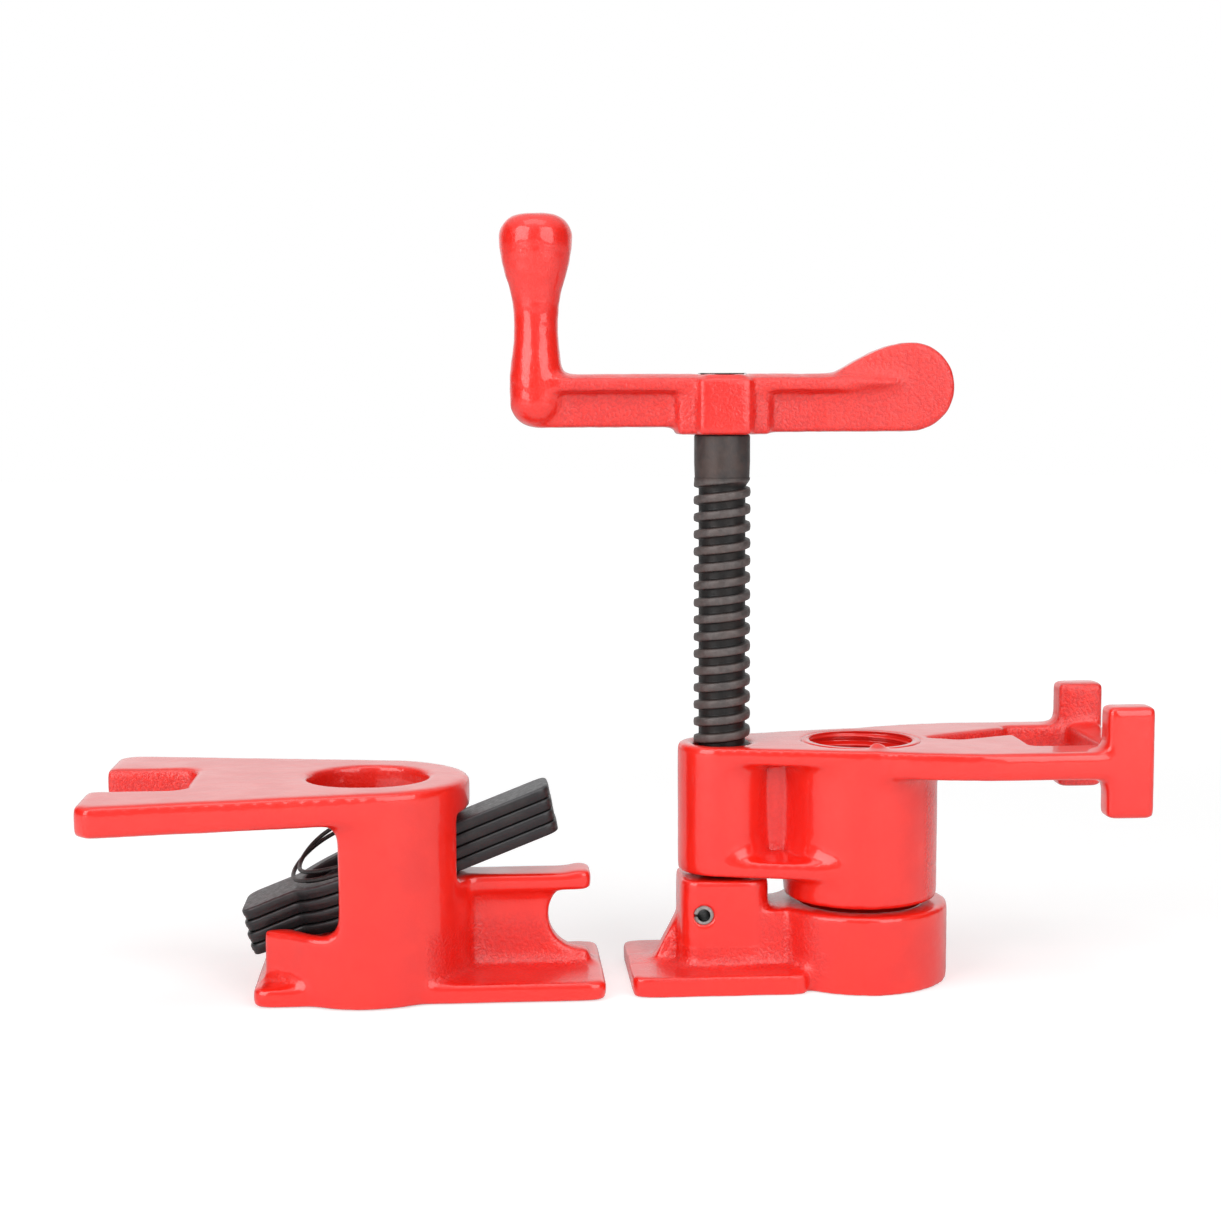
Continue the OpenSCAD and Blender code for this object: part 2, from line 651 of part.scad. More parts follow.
module clutch_spring() {
    points = [for (i = [0 : spring_rings]) each ring_at(i)];
    last = spring_rings * wire_sides;
    sides = [for (i = [0 : spring_rings - 1], k = [0 : wire_sides - 1])
        let (a = i * wire_sides + k, b = i * wire_sides + (k + 1) % wire_sides)
        each [[a, a + wire_sides, b], [b, a + wire_sides, b + wire_sides]]];
    ends = [for (k = [1 : wire_sides - 2])
        each [[0, k, k + 1], [last, last + k + 1, last + k]]];
    color(wire_steel) at_tail() polyhedron(points, concat(sides, ends));
}

// Least gap of the wire to itself, on points a sixth of a curl or more apart
spring_gap = min([for (i = [0 : spring_rings], j = [i + rings_per_curl / 6 : spring_rings])
    norm(spring_point(i / rings_per_curl) - spring_point(j / rings_per_curl))]) - wire_d;
echo(spring_gap = spring_gap);

sliding_jaw();
jaw_roll_pin();
spindle();
crank_handle();
fixed_head();
tail_body();
clutch_plate(0);  // clutch_plate_1
clutch_plate(1);  // clutch_plate_2
clutch_plate(2);  // clutch_plate_3
clutch_plate(3);  // clutch_plate_4
clutch_spring();
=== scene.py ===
import math

import bmesh
import bpy
import numpy as np
from mathutils import Matrix


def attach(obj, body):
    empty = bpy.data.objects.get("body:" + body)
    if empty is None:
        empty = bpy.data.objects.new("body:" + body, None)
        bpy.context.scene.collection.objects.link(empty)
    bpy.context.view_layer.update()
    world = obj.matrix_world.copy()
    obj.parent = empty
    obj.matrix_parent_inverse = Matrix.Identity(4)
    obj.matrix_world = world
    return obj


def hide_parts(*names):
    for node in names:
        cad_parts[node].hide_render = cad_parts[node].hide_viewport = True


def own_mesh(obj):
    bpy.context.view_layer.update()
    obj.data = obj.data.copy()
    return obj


# Pipe clamp: screw head with its sliding jaw and crank on the right, tail stop with its
# clutch on the left. Lengths are in millimetres until a mesh is made.

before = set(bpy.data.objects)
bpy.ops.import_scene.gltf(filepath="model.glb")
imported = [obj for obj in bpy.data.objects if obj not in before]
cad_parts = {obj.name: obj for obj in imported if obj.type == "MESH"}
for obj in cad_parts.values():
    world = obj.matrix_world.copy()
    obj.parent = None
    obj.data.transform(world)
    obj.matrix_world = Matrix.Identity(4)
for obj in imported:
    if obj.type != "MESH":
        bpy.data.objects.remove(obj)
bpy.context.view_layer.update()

MM = 0.001
SPINDLE_X = -33.0      # spindle axis
TAIL_X = -116.0        # pipe axis of the tail stop
HEAD_TOP = 56.5        # top face of the fixed head
PIN_X, PIN_Z = -38.2, 17   # axis of the roll pin

PIPE_CREST_R = 12.15   # crests of the pipe thread in the head
PIPE_GROOVE = 1.15     # depth of its groove
PIPE_PITCH = 2.209     # 11.5 turns to the inch
PIPE_BOSS_LOW = 19.3   # lower face of the boss round it
BORE_R = 13.7          # the casting's hole round the threaded sleeve
SLEEVE_R = 13.95       # outside of the sleeve, just inside the iron
SLEEVE_LOW, SLEEVE_TOP = 19.35, HEAD_TOP - 0.06


# ---------------------------------------------------------------- mesh making

def circle(steps):
    """Angles at even steps, once round."""
    return np.linspace(0, 2 * math.pi, steps, endpoint=False)


def grid_faces(rows, cols, close_rows=False, close_cols=False):
    """Quads of a grid of points numbered row by row. A closed direction joins its last line to its first."""
    i = np.arange(rows if close_rows else rows - 1)
    j = np.arange(cols if close_cols else cols - 1)
    i, j = np.meshgrid(i, j, indexing="ij")
    up, right = (i + 1) % rows, (j + 1) % cols
    quads = np.stack([i * cols + j, i * cols + right, up * cols + right, up * cols + j], -1)
    return quads.reshape(-1, 4)


def end_caps(rows, cols):
    """The first and the last row of such a grid, as one face each."""
    return [list(range(cols)), list(range(rows * cols - 1, (rows - 1) * cols - 1, -1))]


def fan(ring, centre):
    """Triangles from a ring of point numbers to the one in its middle."""
    return np.stack([ring, np.roll(ring, -1), np.full(len(ring), centre)], -1)


def in_scene(name, data):
    """An object round a mesh, lamp or camera, put into the scene."""
    obj = bpy.data.objects.new(name, data)
    bpy.context.scene.collection.objects.link(obj)
    return obj


def read_points(mesh, what="co"):
    """The places (or "normal", the normals) of a mesh's points, one row each, in the mesh's own metres."""
    rows = np.empty(len(mesh.vertices) * 3)
    mesh.vertices.foreach_get(what, rows)
    return rows.reshape(-1, 3)


def mark(mesh, name, values):
    """Keeps one number for each point of a mesh, for its finish to read by that name."""
    kept = mesh.attributes.new(name, "FLOAT", "POINT")
    kept.data.foreach_set("value", values.astype(np.float32))


def make_piece(name, shells, weld=0.002, smooth=True):
    """One object from several (points, faces) shells, with points in millimetres. Doubles closer than weld are
    merged, and the faces are turned outwards."""
    points, faces, start = [], [], 0
    for p, fs in shells:
        points.append(np.asarray(p, float).reshape(-1, 3))
        for f in fs if isinstance(fs, list) else [fs]:
            faces += (np.asarray(f) + start).tolist()
        start += len(points[-1])
    mesh = bpy.data.meshes.new(name)
    mesh.from_pydata((np.concatenate(points) * MM).tolist(), [], faces)
    bm = bmesh.new()
    bm.from_mesh(mesh)
    bmesh.ops.remove_doubles(bm, verts=bm.verts, dist=weld * MM)
    bmesh.ops.dissolve_degenerate(bm, edges=bm.edges, dist=weld * MM / 4)
    bmesh.ops.recalc_face_normals(bm, faces=bm.faces)
    bm.to_mesh(mesh)
    bm.free()
    mesh.polygons.foreach_set("use_smooth", np.full(len(mesh.polygons), smooth))
    return in_scene(name, mesh)


def turned(profile, steps, x=0.0):
    """Lathe work: the (radius, height) profile carried round an upright axis at x. It starts and ends on the axis."""
    profile = np.asarray(profile, float)
    a = circle(steps)
    r, z = profile[:, 0][:, None], profile[:, 1][:, None]
    pts = np.stack([x + r * np.cos(a), r * np.sin(a), z + 0 * a], -1)
    return pts.reshape(-1, 3), grid_faces(len(profile), steps, close_cols=True)


def rounded_steps(corners, radius, cuts=4):
    """A polyline with cut corners: each corner becomes cuts + 1 points of a quadratic curve, which starts and ends
    a radius away from it, or less on a short side."""
    c = np.asarray(corners, float)
    out = [c[0]]
    t = np.linspace(0, 1, cuts + 1)[:, None]
    for before, here, after in zip(c[:-2], c[1:-1], c[2:]):
        a, b = before - here, after - here
        la, lb = np.linalg.norm(a), np.linalg.norm(b)
        cut = min(radius, la * 0.45, lb * 0.45)
        p, q = here + a / la * cut, here + b / lb * cut
        out += list((1 - t) ** 2 * p + 2 * t * (1 - t) * here + t ** 2 * q)
    out.append(c[-1])
    return np.array(out)


def helix_wall(z0, z1, pitch, rule, around, per_pitch, x=0.0):
    """Threaded wall: rows of points that climb one pitch a turn, right-handed. rule(phase, z) gives the radius,
    where phase is 0 to 1 across one pitch. Rows past z0 and z1 fold flat onto the end rings."""
    rows = int(math.ceil((z1 - z0) / pitch + 2) * per_pitch) + 1
    i, j = np.meshgrid(np.arange(rows), np.arange(around), indexing="ij")
    base = z0 - pitch
    z = np.clip(base + pitch * (j / around + i / per_pitch), z0, z1)
    r = rule(((z - base) / pitch - j / around) % 1.0, z)
    a = 2 * math.pi * j / around
    pts = np.stack([x + r * np.cos(a), r * np.sin(a), z], -1).reshape(-1, 3)
    open_faces = grid_faces(rows, around)
    k = np.arange(rows - 1 - per_pitch)
    last = around - 1
    seam = np.stack([k * around + last, (k + per_pitch) * around, (k + per_pitch + 1) * around,
                     (k + 1) * around + last], -1)
    return pts, [open_faces, seam], rows


# ---------------------------------------------------------------- cast iron

def lumps(points, size, seed):
    """Smooth lumps about that far apart: sixteen plane waves in set directions, summed to about -1 to 1."""
    rng = np.random.default_rng(seed)
    way = rng.normal(size=(16, 3))
    way *= (2 * math.pi / size * rng.uniform(0.7, 1.3, 16) / np.linalg.norm(way, axis=1))[:, None]
    return np.sin(points @ way.T + rng.uniform(0, 2 * math.pi, 16)).sum(1) / 4


def near(value, low, high, soft=1.0):
    """1 where value lies between low and high, falling to 0 over the soft margin."""
    t = np.clip(np.minimum(value - low, high - value) / soft + 1, 0, 1)
    return t * t * (3 - 2 * t)


def corner_normals(points, quads):
    """Point normals: the cross products of the faces' diagonals, which grow with their area, summed at each
    point and brought to length 1."""
    a, b, c, d = (points[quads[:, k]] for k in range(4))
    area = np.cross(c - a, d - b)
    out = np.zeros_like(points)
    for axis in range(3):
        for corner in range(4):
            out[:, axis] += np.bincount(quads[:, corner], area[:, axis], len(points))
    return out / np.maximum(np.linalg.norm(out, axis=1), 1e-9)[:, None]


def welded(solid):
    """A copy of a CAD node's mesh with its loose triangles joined."""
    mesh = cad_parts[solid].data.copy()
    bm = bmesh.new()
    bm.from_mesh(mesh)
    bmesh.ops.remove_doubles(bm, verts=bm.verts, dist=1e-6)
    bm.to_mesh(mesh)
    bm.free()
    return mesh


STEP_ROUNDS = 4        # light rounding that takes off the steps of the voxels
ALMOST_FLAT = 80       # a lift under grain squared over this is left unfilled
BEND_ROUNDS = 10       # smoothing of the measured bend
HOLLOW_BEND, HOLLOW_SOFT = 0.2, 0.13   # bend of a hollow corner, and the margin below it


def casting(name, solid, grain, fills, rounds, crisp, roughness, extra=(), reshape=None, uneven=0.010):
    """A casting from its CAD solid, in an even skin of quads about grain across, with extra shells joined in.
    A point's pull is the way to the mean of its neighbours. Filling moves it out along its normal by the pull,
    where that is more than almost flat, so only hollow corners fill. Rounding moves it by half the pull, less
    where crisp says. Then lumps are pushed up along the normals: wide low ones everywhere, uneven ones on the
    smooth faces, and small ones where roughness says that sand left them and in hollow corners, which are told
    by the pull along the normal."""
    mesh = welded(solid)
    if reshape:
        mesh.vertices.foreach_set("co", (reshape(read_points(mesh) / MM) * MM).ravel())
    obj = in_scene(name + "_core", mesh)
    for k, shell in enumerate(extra):
        lump = make_piece(f"{name}_add{k}", [shell])
        bm = bmesh.new()
        bm.from_mesh(obj.data)
        bm.from_mesh(lump.data)
        bm.to_mesh(obj.data)
        bm.free()
        bpy.data.objects.remove(lump)
    skin = obj.modifiers.new("skin", "REMESH")
    skin.mode = "VOXEL"
    skin.voxel_size = grain * MM
    bpy.context.view_layer.update()
    done = bpy.data.meshes.new_from_object(obj.evaluated_get(bpy.context.evaluated_depsgraph_get()))
    bpy.data.objects.remove(obj)

    n = len(done.vertices)
    p = read_points(done) / MM
    edges = np.empty(len(done.edges) * 2, np.int64)
    done.edges.foreach_get("vertices", edges)
    a, b = edges.reshape(-1, 2).T
    quads = np.empty(len(done.loops), np.int64)
    done.loops.foreach_get("vertex_index", quads)
    quads = quads.reshape(-1, 4)
    count = np.bincount(np.concatenate([a, b]), minlength=n)[:, None]

    def pull(p):
        total = np.stack([np.bincount(a, p[b, k], n) + np.bincount(b, p[a, k], n) for k in range(3)], -1)
        return total / count - p

    for _ in range(STEP_ROUNDS):
        p += 0.5 * pull(p)
    flat = grain ** 2 / ALMOST_FLAT
    for steps, where in fills:
        w = where(p)
        for _ in range(steps):
            nrm = corner_normals(p, quads)
            lift = np.maximum((pull(p) * nrm).sum(1) - flat, 0)
            p += nrm * (0.9 * lift * w)[:, None]
    soft = (0.5 * (1 - 0.75 * crisp(p)))[:, None]
    for _ in range(rounds):
        p += soft * pull(p)
    nrm = corner_normals(p, quads)
    bend = (pull(p) * nrm).sum(1) * 4 / grain ** 2
    for _ in range(BEND_ROUNDS):
        bend = (bend + (np.bincount(a, bend[b], n) + np.bincount(b, bend[a], n)) / count[:, 0]) / 2
    hollow = near(bend, HOLLOW_BEND, 99, HOLLOW_SOFT)
    grainy = np.clip(roughness(p, nrm), 0, 1)
    # Hollow corners count as half sandy, so the red paint draws them darker: painted shade
    rough = np.clip(grainy + 0.5 * hollow, 0, 1)
    p += nrm * (0.022 * lumps(p, 14, 3) + uneven * (1 - 0.9 * grainy) * lumps(p, 3.6, 4)
                + (0.005 * grainy + 0.03 * hollow) * lumps(p, 3.0, 5)
                + (0.007 * grainy + 0.045 * hollow) * lumps(p, 1.7, 8))[:, None]
    done.vertices.foreach_set("co", (p * MM).ravel())
    mark(done, "sand", rough)
    done.polygons.foreach_set("use_smooth", np.full(len(done.polygons), True))
    done.update()
    print(name, len(done.polygons) * 2, "triangles")
    return in_scene(name, done)


def everywhere(p):
    """1 at every point."""
    return np.ones(len(p))


def nowhere(p):
    """0 at every point."""
    return np.zeros(len(p))


# ---------------------------------------------------------------- finishes

# The third red is the darker red of sandy speckles, and of the painted shade in hollow corners
RED, DULL_RED, POOLED_AND_SHADED_RED = (0.82, 0.0140, 0.0050), (0.76, 0.0100, 0.0040), (0.60, 0.004, 0.003)
# The first is the near black of painted shade in hollows, seams and the pin's inside
PAINTED_SHADE_BLACK, BARE_STEEL = (0.004, 0.004, 0.004), (0.55, 0.53, 0.51)
WHITE = (1, 1, 1, 1)


def new_finish(name):
    """An empty material and its tree."""
    mat = bpy.data.materials.new(name)
    mat.use_nodes = True
    mat.node_tree.nodes.clear()
    return mat, mat.node_tree


def node(tree, kind, *inputs, **settings):
    """A shader node: inputs are (socket, value or output socket) pairs, settings are its properties."""
    made = tree.nodes.new("ShaderNode" + kind)
    for key, value in settings.items():
        setattr(made, key, value)
    for key, value in inputs:
        socket = made.inputs[key]
        if isinstance(value, bpy.types.NodeSocket):
            tree.links.new(value, socket)
        else:
            socket.default_value = value
    return made


def spread(tree, value, low, high, to_low=0.0, to_high=1.0):
    """Maps value from low..high to to_low..to_high with soft ends, and keeps it there."""
    return node(tree, "MapRange", ("Value", value), ("From Min", low), ("From Max", high),
                ("To Min", to_low), ("To Max", to_high), interpolation_type="SMOOTHSTEP").outputs["Result"]


def sums(tree, kind, a, b):
    """One step of arithmetic on two values."""
    return node(tree, "Math", (0, a), (1, b), operation=kind).outputs[0]


def noise(tree, place, scale, detail=2.0, rough=0.5):
    """Cloudy noise from 0 to 1, about 1 / scale metres from lump to lump."""
    return node(tree, "TexNoise", ("Vector", place), ("Scale", scale), ("Detail", detail),
                ("Roughness", rough)).outputs["Fac"]


def marked(tree, name):
    """The numbers that mark() kept under that name."""
    return node(tree, "Attribute", attribute_name=name).outputs["Fac"]


def blend_colour(tree, share, a, b):
    """Colour a where share is 0, b where it is 1. Each is a colour or an output socket."""
    mix = node(tree, "Mix", ("Factor", share), data_type="RGBA")
    for socket, value in zip((mix.inputs[6], mix.inputs[7]), (a, b)):
        if isinstance(value, bpy.types.NodeSocket):
            tree.links.new(value, socket)
        else:
            socket.default_value = (*value, 1)
    return mix.outputs[2]


def red_paint():
    """Thick glossy red over cast iron: orange peel everywhere, sand grain and darker pooled red speckles where "sand"
    says, and a clear coat that stays smooth except on the sandiest faces. The "sand" mark also holds the hollow
    corners, so the darker red there is painted shade. The roughness stays above 0.28, because a map that crossed that
    value gave false outlines after denoising."""
    mat, tree = new_finish("red_gloss_paint")
    place = node(tree, "TexCoord").outputs["Object"]
    sand = marked(tree, "sand")
    peel = noise(tree, place, 420, 2)
    grain = noise(tree, place, 1500, 3, 0.6)
    blotch = noise(tree, place, 90, 3)
    pool = spread(tree, grain, 0.42, 0.58)
    colour = blend_colour(tree, spread(tree, blotch, 0.35, 0.65), RED, DULL_RED)
    # Darker red: speckles in sandy places, and painted shade in the hollow corners that the sand mark holds too
    pooled_and_shaded = sums(tree, "MULTIPLY", sums(tree, "SUBTRACT", 1.0, pool), sums(tree, "MULTIPLY", sand, 0.7))
    colour = blend_colour(tree, pooled_and_shaded, colour, POOLED_AND_SHADED_RED)
    height = sums(tree, "ADD", sums(tree, "MULTIPLY", peel, 0.35),
                  sums(tree, "MULTIPLY", grain, sums(tree, "ADD", sums(tree, "MULTIPLY", sand, 2.6), 0.08)))
    bump = node(tree, "Bump", ("Strength", 0.6), ("Distance", 0.00022), ("Height", height))
    coated = node(tree, "Bump", ("Strength", 0.6), ("Distance", 0.00022),
                  ("Height", sums(tree, "MULTIPLY", grain, spread(tree, sand, 0.4, 0.85, 0.0, 1.8))))
    gloss = spread(tree, blotch, 0.3, 0.7, 0.29, 0.36)
    skin = node(tree, "BsdfPrincipled", ("Base Color", colour), ("Roughness", gloss), ("IOR", 1.5),
                ("Coat Weight", 0.75), ("Coat Roughness", 0.06), ("Normal", bump.outputs[0]),
                ("Coat Normal", coated.outputs[0]))
    node(tree, "OutputMaterial", ("Surface", skin.outputs[0]))
    return mat


def dark_steel(name, base, light, rust, rough, grain=700, wear="", painted_shade="", bare=""):
    """Blackened steel: base and rust in patches, flecked with light. Where these name an attribute, wear keeps the
    light flecks to edges and crests, the shade mark blackens hollows and seams with painted shade, and bare shows the
    metal."""
    mat, tree = new_finish(name)
    place = node(tree, "TexCoord").outputs["Object"]
    patch = noise(tree, place, 160, 4, 0.6)
    fine = noise(tree, place, grain, 3, 0.65)
    colour = blend_colour(tree, spread(tree, patch, 0.38, 0.66), base, rust)
    shine = spread(tree, fine, 0.4, 0.7, 0.0, 0.35)
    if wear:
        shine = sums(tree, "MULTIPLY", sums(tree, "ADD", shine, 0.55), marked(tree, wear))
    colour = blend_colour(tree, shine, colour, light)
    # Painted shade: hollows, seams and the pin's inside drawn near black
    if painted_shade:
        colour = blend_colour(tree, marked(tree, painted_shade), colour, PAINTED_SHADE_BLACK)
    if bare:
        colour = blend_colour(tree, marked(tree, bare), colour, BARE_STEEL)
    bump = node(tree, "Bump", ("Strength", 0.45), ("Distance", 0.00016),
                ("Height", sums(tree, "ADD", fine, sums(tree, "MULTIPLY", patch, 0.8))))
    skin = node(tree, "BsdfPrincipled", ("Base Color", colour), ("Metallic", 0.35),
                ("Roughness", spread(tree, fine, 0.3, 0.7, rough - 0.07, rough + 0.1)),
                ("Normal", bump.outputs[0]))
    node(tree, "OutputMaterial", ("Surface", skin.outputs[0]))
    return mat


def give(obj, mat, slot, body, *replaced):
    """Gives a piece its finish, the body it rides on and the CAD nodes it stands for. Its slot is not used."""
    obj.data.materials.clear()
    obj.data.materials.append(mat)
    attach(obj, body)
    if replaced:
        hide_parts(*replaced)
    return obj


paint = red_paint()
spindle_steel = dark_steel("spindle_steel", (0.028, 0.025, 0.025), (0.14, 0.12, 0.115), (0.060, 0.038, 0.032),
                           0.46, wear="crest", painted_shade="root", bare="bare")
plate_steel = dark_steel("plate_steel", (0.026, 0.025, 0.027), (0.10, 0.10, 0.105), (0.036, 0.034, 0.034),
                         0.4, grain=900, wear="lip", painted_shade="seam")
wire_steel = dark_steel("wire_steel", (0.022, 0.020, 0.021), (0.09, 0.09, 0.09), (0.030, 0.025, 0.024),
                        0.37, grain=1500)
pin_steel = dark_steel("pin_steel", (0.34, 0.33, 0.32), (0.55, 0.54, 0.53), (0.20, 0.19, 0.18),
                       0.36, grain=1500, painted_shade="pin_inside_shade")


# ---------------------------------------------------------------- castings

def ball(x, y, z, rx, ry, rz, rings=16, steps=32):
    """A lump: a sphere stretched to three half axes."""
    a = np.linspace(-math.pi / 2, math.pi / 2, rings)
    pts, faces = turned(np.stack([np.cos(a), np.sin(a)], -1), steps)
    return pts * (rx, ry, rz) + (x, y, z), faces


def head_sand(p, n):
    """Sandy on the foot's inner face, in the arm's window and, less so, on the web between the bosses."""
    x, y, z = p.T
    inner = near(y, 17, 30, 1) * near(-n[:, 1], 0.5, 2, 0.3)
    window = near(x, 14, 55, 2) * near(y, -13, 18, 1) * near(n[:, 2], -0.6, 0.6, 0.3)
    web = near(x, -28, -12, 2) * near(abs(y), 0, 6.5, 1)
    return 0.06 + 0.94 * np.maximum(inner * near(x, 50, 70), window) + 0.3 * web


def head_crisp(p):
    """The rim of the pipe hole stays sharp."""
    return near(np.hypot(p[:, 0], p[:, 1]), 11, 15.5, 1) * near(p[:, 2], 54, 60)


def head_bore(p):
    """Opens the threaded hole by the depth of its thread, for the threaded sleeve that lines it."""
    r = np.hypot(p[:, 0], p[:, 1])
    wall = abs(r - PIPE_CREST_R) < 0.05
    p[wall, :2] *= (BORE_R / r[wall])[:, None]
    return p


def head_web(p):
    """The hollow corners round the web between the two bosses."""
    return near(p[:, 0], -29, -9, 2) * near(abs(p[:, 1]), 0, 13, 2) * near(p[:, 2], 24, 58)


def head_foot(p):
    """The hollow corners where the arm runs into the foot's blocks."""
    return near(p[:, 0], 46, 53, 2) * near(abs(p[:, 1]), 15, 30, 1) * near(p[:, 2], 46, 62, 2)


rim_lump = ball(1.5, -13.2, 56.6, 2.0, 1.6, 1.2)
head = casting("head_casting", "fixed_head", 0.62, [(30, everywhere), (60, head_web), (50, head_foot)], 7,
               head_crisp, head_sand, [rim_lump], head_bore)
give(head, paint, "red_paint", "head", "fixed_head")


def jaw_sand(p, n):
    """Half sandy on top of the jaw plate, round the neck and on the gusset."""
    x, y, z = p.T
    low = near(z, -1, 9, 3) * near(x, -50, -12, 3) * near(n[:, 2], -0.3, 2, 0.3)
    neck = near(x, -24, -13, 2) * near(abs(y), 0, 16, 2) * near(z, 3, 20, 2)
    gusset = near(x, -60, -42, 1) * near(abs(y), 0, 4, 1) * near(z, 4.5, 30, 1)
    return 0.06 + 0.55 * np.maximum(np.maximum(low * near(z, 4.2, 9), neck), gusset)


def jaw_crisp(p):
    """The rims of the roll pin's hole stay sharp."""
    return near(np.hypot(p[:, 0] - PIN_X, p[:, 2] - PIN_Z), 1.5, 3.6, 0.5)


jaw = casting("jaw_casting", "sliding_jaw", 0.5, [(40, everywhere)], 5, jaw_crisp, jaw_sand, uneven=0.016)
give(jaw, paint, "red_paint", "jaw", "sliding_jaw")


def crank_sand(p, n):
    """Sandy on the sides of the arm and the wing, less so on the hub, and a third sandy elsewhere."""
    x, y, z = p.T
    web = near(abs(n[:, 1]), 0.5, 2, 0.3) * near(z, 129, 151) * near(x, -70, 22, 2)
    hub = near(x, -40.5, -25.5, 1) * near(abs(y), 7, 12, 1)
    return 0.32 + 0.63 * web * (1 - 0.6 * hub)


wing_swell = ball(-1.0, 0.0, 140.3, 13.5, 5.3, 1.7)
crank = casting("crank_casting", "crank_handle", 0.45, [(45, everywhere)], 8, nowhere, crank_sand, [wing_swell],
                uneven=0.045)
give(crank, paint, "red_paint", "screw", "crank_handle")


def tail_sand(p, n):
    """Sandy in the fork's notch, half so at the foot of the finger rest, and a little in the pipe hole."""
    x, y, z = p[:, 0] - TAIL_X, p[:, 1], p[:, 2]
    notch = near(x, -63, -38, 1) * near(abs(y), 0, 14.2, 0.6) * near(z, 42, 50)
    notch = notch * near(n[:, 2], -0.7, 0.7, 0.2)
    foot = near(x, 14, 50, 3) * near(z, 3.5, 14, 4) * near(y, -19, 19, 1)
    bore = near(np.hypot(x, y), 13, 14.6, 0.4) * near(z, 41, 50)
    return 0.05 + np.maximum(np.maximum(0.9 * notch, 0.6 * foot), 0.3 * bore)


def tail_crisp(p):
    """The rim of the pipe hole stays sharp."""
    return near(np.hypot(p[:, 0] - TAIL_X, p[:, 1]), 12, 16, 1) * near(p[:, 2], 47, 52)


tail = casting("tail_casting", "tail_body", 0.6, [(36, everywhere)], 13, tail_crisp, tail_sand)
give(tail, paint, "red_paint", "tail", "tail_body")


# ---------------------------------------------------------------- pipe thread in the head

def pipe_thread_rule(phase, z):
    """Inside thread: across one pitch the groove runs out from the crest radius and back in a triangle, cut flat at
    both its tips. It fades out over 0.9 mm at both ends."""
    w = 1 - abs(phase - 0.5) * 2
    end = np.clip(np.minimum(z - PIPE_BOSS_LOW, HEAD_TOP - z) / 0.9, 0, 1)
    return PIPE_CREST_R + PIPE_GROOVE * np.clip(w * 1.25 - 0.12, 0, 1) * end


def pipe_thread():
    """The threaded wall inside, a plain wall outside, and flat rings that close them at the foot and the top."""
    n = 96
    inner, faces, rows = helix_wall(SLEEVE_LOW, SLEEVE_TOP, PIPE_PITCH, pipe_thread_rule, n, 12)
    a = circle(n)
    low = np.stack([SLEEVE_R * np.cos(a), SLEEVE_R * np.sin(a), np.full(n, SLEEVE_LOW)], -1)
    high = low + (0, 0, SLEEVE_TOP - SLEEVE_LOW)
    count = len(inner)
    j = np.arange(n)
    k = (j + 1) % n
    outer = count + np.stack([j, k, n + k, n + j], -1)
    foot = np.stack([j, k, count + k, count + j], -1)
    last = (rows - 1) * n
    top = np.stack([last + j, last + k, count + n + k, count + n + j], -1)
    return make_piece("pipe_thread", [(np.concatenate([inner, low, high]), [*faces, outer, foot, top])])


give(pipe_thread(), paint, "red_paint", "head")


# ---------------------------------------------------------------- spindle

CREST_R, ROOT_R, COLLAR_R, PITCH = 6.65, 5.45, 6.5, 4.0
MIDDLE_R = 6.0         # between root and crest, where wear gives way to the painted shade of the roots
THREAD_LOW, COLLAR_LOW = 25.3, 118.5


def spindle_rule(phase, z):
    """Radius across one pitch: a slightly crowned crest with sloping flanks on a base of three fifths of it, then a
    flat root. The thread fades into the collar above and is cut to a cone at its lower end."""
    w = abs(phase - 0.5)
    flank = np.clip((0.31 - w) / 0.1, 0, 1)
    r = ROOT_R + (CREST_R - ROOT_R) * flank * flank * (3 - 2 * flank)
    r = r - 0.28 * np.clip(w / 0.3, 0, 1) ** 2 * flank
    t = np.clip((z - (COLLAR_LOW - 2.4)) / 2.2, 0, 1)
    r = r + (COLLAR_R - r) * t * t * (3 - 2 * t)
    return np.minimum(r, ROOT_R - 0.3 + (z - THREAD_LOW))


